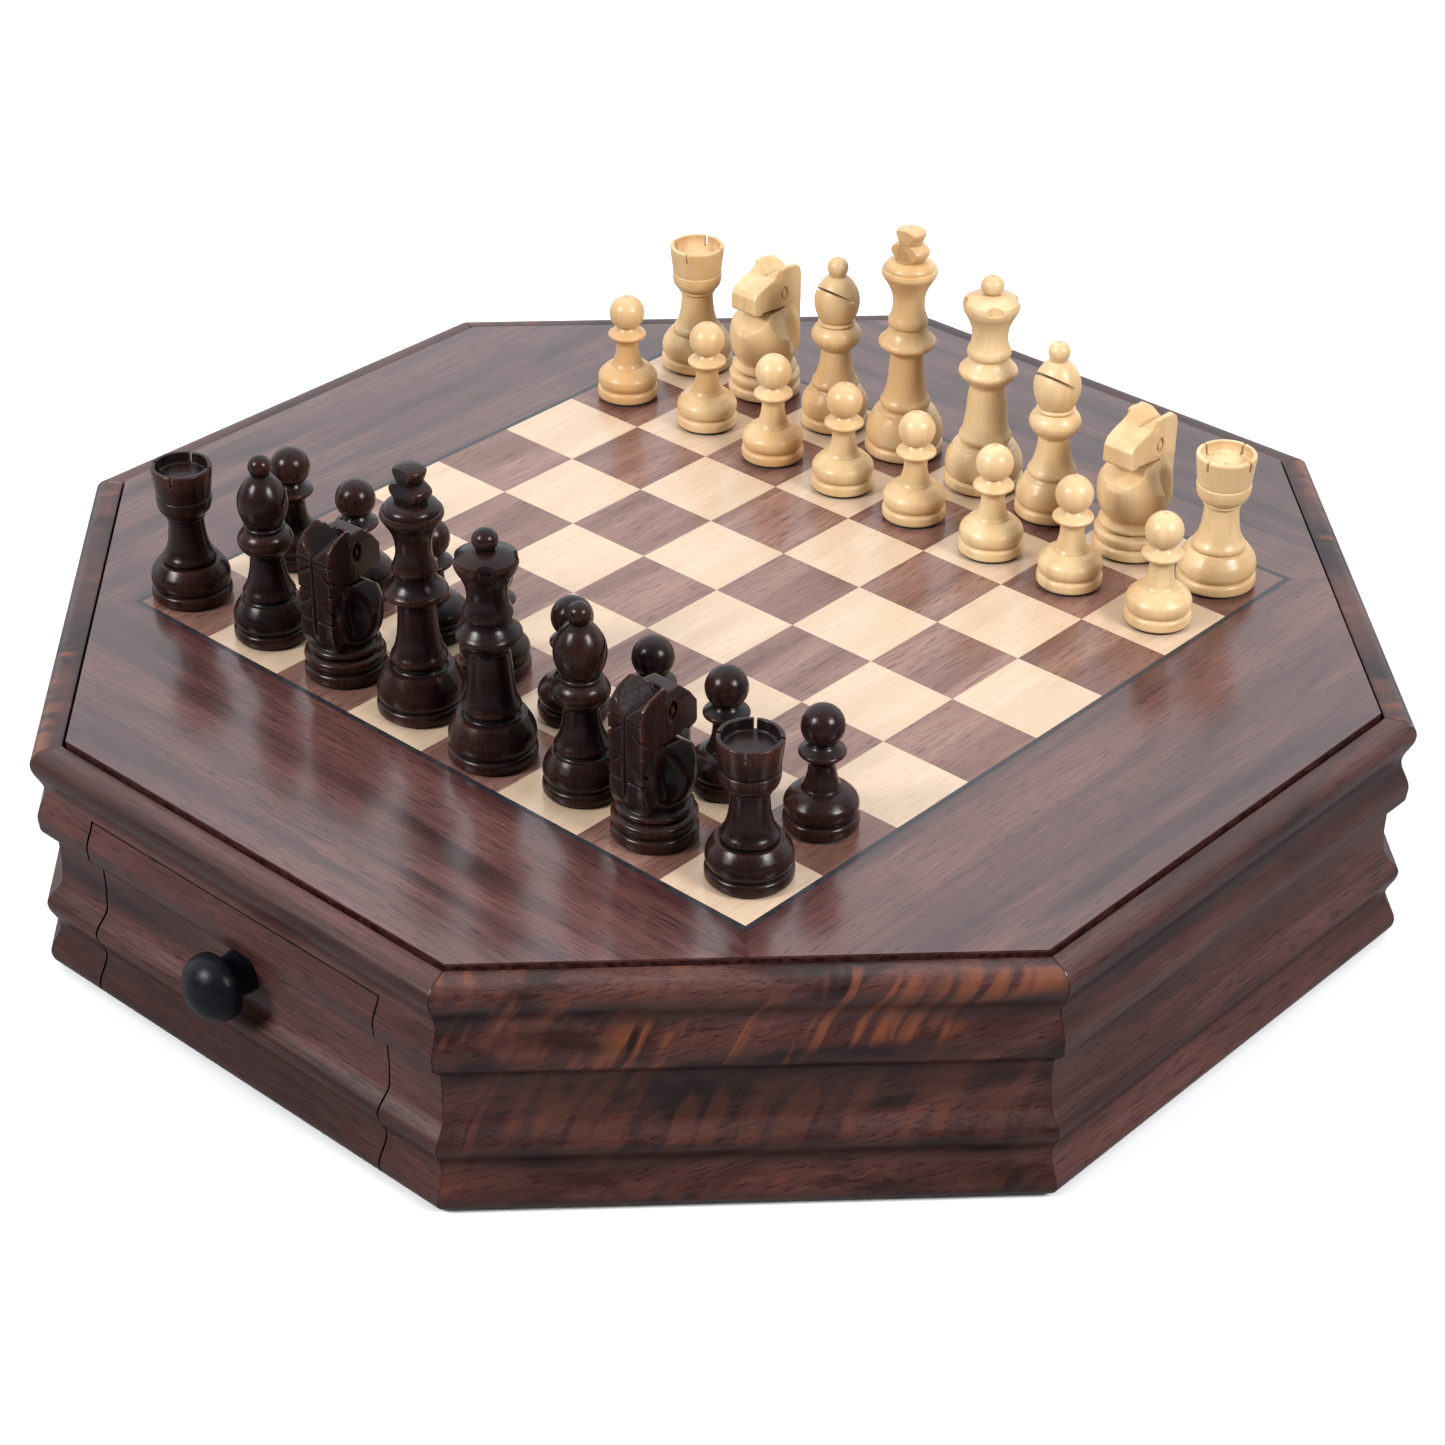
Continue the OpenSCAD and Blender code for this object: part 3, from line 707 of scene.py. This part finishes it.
def ball(z, r, h, start, steps=9):
    """A round or flattened ball on the axis, from an angle below its middle up to its top"""
    turns = [math.radians(start + (90 - start) * i / steps) for i in range(steps)]
    return [(r * math.cos(t), z + h * math.sin(t)) for t in turns] + [(0, z + h)]


outlines = {
    "pawn": foot(0.33, 0.36) + [(0.2, 0.378), (0.178, 0.385, 1), (0.172, 0.398, 1), (0.158, 0.42),
        (0.145, 0.46), (0.128, 0.53), (0.12, 0.6), (0.122, 0.64), (0.135, 0.67), (0.16, 0.7),
        (0.192, 0.722), (0.205, 0.737), (0.206, 0.75), (0.198, 0.765), (0.165, 0.785), (0.13, 0.81),
        (0.11, 0.84, 1)] + ball(0.995, 0.19, 0.194, -52)[1:],
    "rook": foot(0.396, 0.41) + [(0.25, 0.415, 1), (0.262, 0.43), (0.266, 0.45), (0.258, 0.475),
        (0.235, 0.51), (0.213, 0.56), (0.19, 0.66), (0.177, 0.78), (0.172, 0.885, 1), (0.19, 0.892),
        (0.197, 0.905), (0.195, 0.93, 1), (0.225, 0.952), (0.255, 0.995), (0.27, 1.06), (0.272, 1.115, 1),
        (0.262, 1.125, 1), (0.268, 1.15, 1), (0.28, 1.25), (0.298, 1.415), (0.295, 1.432),
        (0.285, 1.44, 1), (0.258, 1.44, 1), (0.252, 1.434, 1), (0.244, 1.345, 1), (0.225, 1.33),
        (0, 1.32)],
    "bishop": foot(0.367, 0.43) + [(0.255, 0.435), (0.243, 0.45, 1), (0.235, 0.468, 1), (0.25, 0.482),
        (0.256, 0.5), (0.248, 0.525), (0.225, 0.565), (0.2, 0.63), (0.175, 0.74), (0.157, 0.895, 1),
        (0.172, 0.91), (0.21, 0.945), (0.25, 1), (0.267, 1.055), (0.258, 1.1), (0.235, 1.14),
        (0.205, 1.17), (0.182, 1.185, 1), (0.198, 1.197), (0.2, 1.21), (0.19, 1.224), (0.175, 1.23, 1),
        (0.205, 1.28), (0.232, 1.36), (0.243, 1.44), (0.233, 1.53), (0.2, 1.61), (0.145, 1.69),
        (0.085, 1.74, 1)] + ball(1.83, 0.113, 0.11, -40)[1:],
    "queen": foot(0.415, 0.46) + [(0.265, 0.465), (0.25, 0.485), (0.245, 0.51, 1), (0.265, 0.527),
        (0.275, 0.552), (0.27, 0.58), (0.25, 0.62), (0.235, 0.67), (0.216, 0.8), (0.2, 1),
        (0.185, 1.125, 1), (0.192, 1.15), (0.225, 1.19), (0.275, 1.24), (0.303, 1.285), (0.306, 1.305),
        (0.297, 1.33), (0.26, 1.37), (0.22, 1.42), (0.202, 1.46, 1), (0.22, 1.478), (0.229, 1.51),
        (0.224, 1.545), (0.205, 1.59), (0.19, 1.65), (0.187, 1.72), (0.203, 1.81), (0.24, 1.9),
        (0.28, 1.97), (0.296, 2.025), (0.296, 2.05), (0.286, 2.085, 1), (0.25, 2.105), (0.18, 2.135),
        (0.08, 2.165, 1)] + ball(2.245, 0.12, 0.11, -45)[1:],
    "king": foot(0.415, 0.48) + [(0.268, 0.487), (0.25, 0.508), (0.243, 0.535, 1), (0.26, 0.553),
        (0.269, 0.582), (0.262, 0.612), (0.24, 0.65), (0.222, 0.7), (0.197, 0.82), (0.182, 1),
        (0.174, 1.13, 1), (0.18, 1.155), (0.215, 1.19), (0.27, 1.225), (0.302, 1.255), (0.305, 1.275),
        (0.295, 1.3), (0.25, 1.345), (0.21, 1.4), (0.19, 1.455, 1), (0.203, 1.472), (0.211, 1.505),
        (0.206, 1.545), (0.188, 1.59), (0.172, 1.65), (0.168, 1.73), (0.18, 1.83), (0.22, 1.93),
        (0.268, 2.01), (0.293, 2.055), (0.294, 2.08), (0.287, 2.105, 1), (0.262, 2.11, 1), (0.26, 2.137),
        (0.235, 2.17), (0.19, 2.193), (0.15, 2.203, 1), (0.158, 2.225), (0.19, 2.26), (0.203, 2.3),
        (0.195, 2.335), (0.155, 2.368), (0.12, 2.39, 1), (0.135, 2.43), (0.155, 2.49), (0.155, 2.515),
        (0.145, 2.53), (0.08, 2.552), (0, 2.56)],
    "knight": foot(0.395, 0.3) + [(0.32, 0.303), (0.335, 0.308, 1), (0.348, 0.32), (0.352, 0.335),
        (0.346, 0.352), (0.325, 0.37), (0.305, 0.385), (0.3, 0.44, 1), (0, 0.44)],
}

# Pale boxwood, darker orange in its grooves (painted shade, with lacquer pooled there too), and wood stained
# nearly black, rubbed red-brown on its crests
piece_woods = {"white": material("boxwood", 0.32, Specular_IOR_Level=0.38),
    "black": material("dark_stain", 0.28, Specular_IOR_Level=0.19)}
for shade, (made, tree, shader) in piece_woods.items():
    part = add(tree, "SeparateXYZ", {0: place_on(tree)}).outputs
    upright = add(tree, "CombineXYZ", {0: part[2], 1: part[0], 2: part[1]}).outputs[0]
    lines = wood_grain(tree, upright, add(tree, "Attribute", attribute_name="seed").outputs["Fac"])
    crest = add(tree, "Attribute", attribute_name="crest").outputs["Fac"]
    if shade == "black":
        colour = mix(tree, ramp(tree, lines["Bands"], 0.35, 0.7), (0.006, 0.0035, 0.004, 1),
            (0.017, 0.0075, 0.007, 1))
        rubbed = ramp(tree, lines["Cloud"], 0.35, 0.6, 0.3, 1)
        worn = maths(tree, "MULTIPLY", ramp(tree, crest, 0.35, 0.85), rubbed)
        colour = mix(tree, maths(tree, "MULTIPLY", worn, 0.8), colour, (0.07, 0.02, 0.012, 1))
        colour = mix(tree, ramp(tree, lines["Fibres"], 0.35, 0.65, 0.4, 0), colour, (0.006, 0.003, 0.003, 1))
        colour = mix(tree, maths(tree, "MULTIPLY", lines["Pores"], 0.6), colour, (0.004, 0.002, 0.002, 1))
        rough = (0.19, 0.3)
    else:
        colour = mix(tree, ramp(tree, lines["Bands"], 0.3, 0.7), (0.54, 0.345, 0.16, 1),
            (0.67, 0.49, 0.275, 1))
        colour = mix(tree, ramp(tree, lines["Cloud"], 0.5, 0.74, 0, 0.7), colour, (0.5, 0.26, 0.1, 1))
        colour = mix(tree, ramp(tree, lines["Fibres"], 0.3, 0.6, 0.22, 0), colour, (0.48, 0.28, 0.13, 1))
        # Darker orange where the crest value is low, in the grooves: painted shade, and lacquer pooled there
        colour = mix(tree, ramp(tree, crest, 0.05, 0.4, 0.75, 0), colour, (0.33, 0.165, 0.065, 1))
        rough = (0.26, 0.4)
    tree.links.new(colour, shader.inputs["Base Color"])
    tree.links.new(ramp(tree, lines["Fibres"], 0.3, 0.7, *rough), shader.inputs["Roughness"])
    bump(tree, shader, lines["Fibres"], 0.03 * mm, 0.5)


def crest_heights(line):
    """How far each point stands out from the line round it: 0 in a groove, 1 on a crest"""
    reach, gain = 0.05, 18
    out = []
    for here in line:
        near = [(p.x, math.exp(-((p - here).length / reach) ** 2)) for p in line]
        mean = sum(r * w for r, w in near) / sum(w for r, w in near)
        out.append(min(1, max(0, 0.5 + (here.x - mean) * gain)))
    return out


def set_crests(mesh, line, heights):
    """Writes on a turned mesh the crest height of the line's nearest point, and 0.3 where it was cut"""
    finder = KDTree(len(line))
    for i, p in enumerate(line):
        finder.insert((p.x, p.y, 0), i)
    finder.balance()
    values = []
    for v in mesh.vertices:
        spot, i, gap = finder.find((math.hypot(v.co.x, v.co.y) / square, v.co.z / square, 0))
        values.append(heights[i] if gap < 0.03 else 0.3)
    attribute = mesh.attributes.get("crest") or mesh.attributes.new("crest", "FLOAT", "POINT")
    attribute.data.foreach_set("value", values)


def cuts_for(kind):
    """The saw, file and gouge cuts made after turning, as solids to take away, in squares"""
    s = square
    tools = []
    if kind == "rook":
        for turn in (0, 90, 180, 270):
            tool = block((0.22 * s, -0.015 * s, 1.325 * s), (0.5 * s, 0.015 * s, 2 * s))
            tool.transform(Matrix.Rotation(math.radians(turn), 4, "Z"))
            tools.append(tool)
    elif kind == "bishop":
        tool = block((0, -s / 2, 0), (s, s / 2, 0.03 * s))
        lean = Matrix.Rotation(math.radians(-38), 4, "Y")
        tool.transform(Matrix.Translation((0.02 * s, 0, 1.47 * s)) @ lean)
        tools = [tool]
    elif kind == "queen":
        for turn in (45, 135, 225, 315):
            tool = rod("scallop", 0.12 * s, s, 40)
            at = math.radians(turn)
            tool.transform(Matrix.Translation((0.36 * s * math.cos(at), 0.36 * s * math.sin(at), 2.02 * s)))
            tools.append(tool)
    elif kind == "king":
        tools = [block((0.11 * s, -s / 2, 2.21 * s), (0.6 * s, s / 2, 3 * s)),
            block((-0.6 * s, -s / 2, 2.21 * s), (-0.11 * s, s / 2, 3 * s))]
    return tools


def with_disc(mesh, kind):
    """Adds the felt disc to a piece's mesh, a hair below the wood, as its second material"""
    r = {"pawn": 0.303, "bishop": 0.337}.get(kind, 0.36) * square
    disc = lathe("disc", [(0, 0), (r - 0.4 * mm, 0), (r, 0.2 * mm), (r, 1 * mm), (0, 1 * mm)])
    start = len(mesh.polygons)
    both = bmesh.new()
    both.from_mesh(mesh)
    both.from_mesh(disc)
    both.to_mesh(mesh)
    both.free()
    mesh.polygons.foreach_set("material_index", [0] * start + [1] * (len(mesh.polygons) - start))
    return mesh


blanks = {}
for kind, outline in outlines.items():
    line = smoothed(outline)
    mesh = lathe(kind, [(p.x * square, p.y * square) for p in line])
    tools = cuts_for(kind)
    if tools:
        mesh = cut(mesh, tools)
    set_crests(mesh, line, crest_heights(line))
    blanks[kind] = mesh if kind == "knight" else with_disc(mesh, kind)


# ---- The knights' heads ----
# Each is carved by hand from the turned blank with knife and gouge: a flat back, two ears parted by a
# cleft, a blunt muzzle, a hollow behind the chest, ringed eyes. The dark ones have a mane cut in too.

def within(outline, a, b):
    """Distance from an outline over a grid, below 0 inside it"""
    far, sign = 1e9, 1
    for (x0, y0), (x1, y1) in zip(outline, outline[1:] + outline[:1]):
        ex, ey = x1 - x0, y1 - y0
        t = np.clip(((a - x0) * ex + (b - y0) * ey) / (ex * ex + ey * ey), 0, 1)
        far = np.minimum(far, (a - x0 - ex * t) ** 2 + (b - y0 - ey * t) ** 2)
        crossed = ((y0 > b) != (y1 > b)) & (a < ex * (b - y0) / (ey or 1) + x0)
        sign = np.where(crossed, -sign, sign)
    return sign * np.sqrt(far)


def joined(a, b, soft):
    """Two solids run into each other with a soft hollow between them"""
    part = np.clip(0.5 + 0.5 * (b - a) / soft, 0, 1)
    return b + (a - b) * part - soft * part * (1 - part)


def pared(solid, tool, soft):
    """A solid with a tool's cut taken out and the edges of the cut eased"""
    return -joined(-solid, tool, soft)


def near_line(points, f, t, z):
    """Distance from a line through points in space"""
    far = 1e9
    for a, b in zip(points, points[1:]):
        edge = [q - p for p, q in zip(a, b)]
        gap = [axis - p for axis, p in zip((f, t, z), a)]
        along = np.clip(sum(g * e for g, e in zip(gap, edge)) / sum(e * e for e in edge), 0, 1)
        far = np.minimum(far, sum((g - e * along) ** 2 for g, e in zip(gap, edge)))
    return np.sqrt(far)


def skin(name, field, low, step):
    """A mesh over the places where the field is below 0, a vertex to each cell that it passes through"""
    full = field < 0
    cells = [n - 1 for n in field.shape]
    view = lambda grid, c: grid[tuple(slice(o, o + n) for o, n in zip(c, cells))]
    spot, count = np.zeros(cells + [3]), np.zeros(cells)
    for axis in range(3):
        for i in (0, 1):
            for j in (0, 1):
                start = [i, j]
                start.insert(axis, 0)
                end = list(start)
                end[axis] = 1
                a, b = view(field, start), view(field, end)
                crossed = (a < 0) != (b < 0)
                at = np.tile(np.array(start, float), cells + [1])
                at[..., axis] = np.where(crossed, a / np.where(a == b, 1, a - b), 0)
                spot += at * crossed[..., None]
                count += crossed
    used = count > 0
    index = np.full(cells, -1)
    index[used] = np.arange(used.sum())
    verts = (np.argwhere(used) + spot[used] / count[used][:, None]) * step + np.array(low)
    faces = []
    for axis in range(3):
        u, v = np.eye(3, dtype=int)[(axis + 1) % 3], np.eye(3, dtype=int)[(axis + 2) % 3]
        ahead = np.roll(full, -1, axis)
        for solid_first in (True, False):
            edges = np.argwhere((full & ~ahead) if solid_first else (~full & ahead))
            ring = [edges, edges - u, edges - u - v, edges - v]
            quad = np.stack([index[tuple(corner.T)] for corner in ring], 1)
            faces += (quad[:, ::-1] if not solid_first else quad).tolist()
    mesh = bpy.data.meshes.new(name)
    mesh.from_pydata((verts * square).tolist(), [], faces)
    return mesh


# The side views, in squares: forward and up
back_line = [(-0.3, 0.4), (-0.345, 0.5), (-0.36, 0.62)]
jaw_line = [(0.34, 1.055), (0.2, 1.035), (0.1, 1.03), (0.2, 0.965), (0.34, 0.85), (0.375, 0.78),
    (0.375, 0.58), (0.34, 0.46), (0.3, 0.4)]
side_views = {
    "white": back_line + [(-0.36, 1.36), (-0.345, 1.43), (-0.29, 1.475), (-0.2, 1.485), (-0.12, 1.49),
        (-0.05, 1.485), (0, 1.45), (0.05, 1.405), (0.2, 1.36), (0.32, 1.305), (0.36, 1.25),
        (0.365, 1.08)] + jaw_line,
    "black": back_line + [(-0.36, 1.36), (-0.33, 1.47), (-0.25, 1.55), (-0.11, 1.61), (-0.03, 1.59),
        (0.02, 1.52), (0.17, 1.516), (0.27, 1.42), (0.37, 1.29), (0.375, 1.08)] + jaw_line,
}
# The grid that the head is worked out on: f forward, t to the side and z up
grid_step, grid_low, grid_high = 0.0115, (-0.44, -0.44, 0.36), (0.44, 0.44, 1.68)
f, t, z = np.ogrid[tuple(slice(low, high, grid_step) for low, high in zip(grid_low, grid_high))]
from_middle = np.abs(t)
from_axis = np.sqrt(f * f + t * t)
blank_line = smoothed([(0.29, 0.36), (0.3, 0.41), (0.33, 0.46), (0.36, 0.52), (0.38, 0.6), (0.386, 0.68),
    (0.38, 0.78), (0.355, 0.88), (0.31, 0.97), (0.26, 1.06)])
knight_line = smoothed(outlines["knight"])
for shade, side_view in side_views.items():
    light = shade == "white"
    side = within(side_view, f, z)
    blank_r = np.interp(z, [p.y for p in blank_line], [p.x for p in blank_line])
    chest = np.maximum(np.maximum((from_axis - blank_r) * 0.85, side), z - 1.05)
    chest = np.maximum(chest, (from_middle - 0.175 - (1.05 - z) * 0.68) * 0.83)
    neck = np.maximum(np.maximum(side, from_middle - 0.2), np.maximum(f + 0.05, from_axis - 0.41))
    ear_line = 1.36 if light else 1.42
    width = 0.2 - 0.028 * np.clip((f + 0.02) / 0.38, 0, 1) - 0.35 * np.clip(z - ear_line, 0, 1)
    head = np.maximum(np.maximum(side, from_middle - width), np.maximum(1.03 - z, from_axis - 0.41))
    solid = joined(joined(chest, neck, 0.03), head, 0.008)

    # The hollow behind the chest, on both sides
    gutter = np.sqrt(((f + 0.14) / 0.15) ** 2 + ((from_middle - 0.43) / 0.22) ** 2 + ((z - 0.86) / 0.38) ** 2)
    solid = pared(solid, (gutter - 1) * 0.15, 0.06)
    # The cut under the jaw
    slit = within([(0.24, 1.065), (0.24, 1.0), (-0.1, 1.02), (-0.1, 1.04)], f, z)
    solid = pared(solid, np.maximum(slit, 0.1 - from_middle), 0.01)
    # The cleft between the ears
    floor = 1.35 if light else 1.45 + 0.25 * np.minimum(f, 0)
    cleft = np.maximum((floor + 0.95 * from_middle - z) * 0.72, f - (0.06 if light else 0.04))
    solid = pared(solid, cleft, 0.015)
    # The eyes: a ring cut round a ball
    eye_f, eye_z = (-0.09, 1.19) if light else (0.04, 1.33)
    reach = np.sqrt(((f - eye_f) / 0.042) ** 2 + ((z - eye_z) / 0.066) ** 2)
    groove = (0.013, 0.025) if light else (0.02, 0.04)
    ring = np.maximum(np.abs(reach - 1) * 0.05 - groove[0], width - groove[1] - from_middle)
    solid = pared(solid, ring, 0.008)
    if not light:
        # The mane: a line down the back, three level cuts and two slanting ones on each side of it
        cuts = [[(-0.36, 0, 0.5), (-0.36, 0, 1.36)]]
        for side_t in (-1, 1):
            for level, ends in ((1.33, -0.26), (1.02, -0.26), (0.72, -0.2)):
                corner = (-0.36, 0.19 * side_t, level)
                cuts.append([(-0.36, 0.04 * side_t, level), corner, (ends, 0.215 * side_t, level - 0.02)])
            for top, bottom, start in ((1.265, 1.09, 0.05), (0.943, 0.75, 0.065)):
                corner = (-0.35, 0.19 * side_t, (top + bottom) / 2)
                cuts.append([(-0.36, start * side_t, top), corner, (-0.25, 0.215 * side_t, bottom)])
        for line in cuts:
            solid = pared(solid, near_line(line, f, t, z) - 0.0125, 0.008)
    # Its foot ends inside the turned base, to which it is then joined
    head_mesh = skin("head", np.maximum(solid, 0.405 - z), grid_low, grid_step)
    # A crest is where there is less wood round a place than on a flat face
    around = sum(np.roll(solid, way, axis) for way in (-3, 3) for axis in range(3)) / 6
    cells = [tuple(round((c / square - low) / grid_step) for c, low in zip(v.co, grid_low))
        for v in head_mesh.vertices]
    head_crests = [min(1, max(0, 0.45 + 28 * float(around[cell] - solid[cell]))) for cell in cells]
    mesh = cut(blanks["knight"].copy(), [head_mesh], "UNION")
    set_crests(mesh, knight_line, crest_heights(knight_line))
    crests = mesh.attributes["crest"].data
    finder = KDTree(len(head_mesh.vertices))
    for i, v in enumerate(head_mesh.vertices):
        finder.insert(v.co, i)
    finder.balance()
    for v in mesh.vertices:
        spot, i, gap = finder.find(v.co)
        if gap < 0.05 * mm:
            crests[v.index].value = head_crests[i]
    blanks[shade + "_knight"] = with_disc(mesh, "knight")


# ---- Setting out the pieces ----
# Sixteen of boxwood and sixteen stained nearly black, each with a felt disc glued under its foot.

# Which way the pieces of the back rows face, in degrees from +X, from file a to h
facing = {"white": (-3, -90, -90, -90, -90, -90, -90, 20), "black": (33, 90, 90, 90, 90, 95, 95, 30)}
dark_pawn_size = 1.045
piece_nodes = sorted(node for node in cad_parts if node.startswith(("white_", "black_")))
for number, node in enumerate(piece_nodes, 1):
    colour_name, kind, file = node.split("_")
    mesh = blanks[colour_name + "_knight" if kind == "knight" else kind].copy()
    mesh.name = node
    if kind == "pawn" and colour_name == "black":
        mesh.transform(Matrix.Scale(dark_pawn_size, 4))
    marks = [polygon.material_index for polygon in mesh.polygons]
    finish_mesh(mesh, 0.37 * number, piece_woods[colour_name][0], 38)
    mesh.materials.append(felt)
    mesh.polygons.foreach_set("material_index", marks)
    low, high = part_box(node)
    piece = show(node + "_turned", mesh)
    piece.location = ((low.x + high.x) / 2, (low.y + high.y) / 2, board_top)
    turned = 0 if kind == "pawn" else facing[colour_name]["abcdefgh".index(file)]
    piece.rotation_euler.z = math.radians(turned)
    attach(piece, node)
    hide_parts(node)
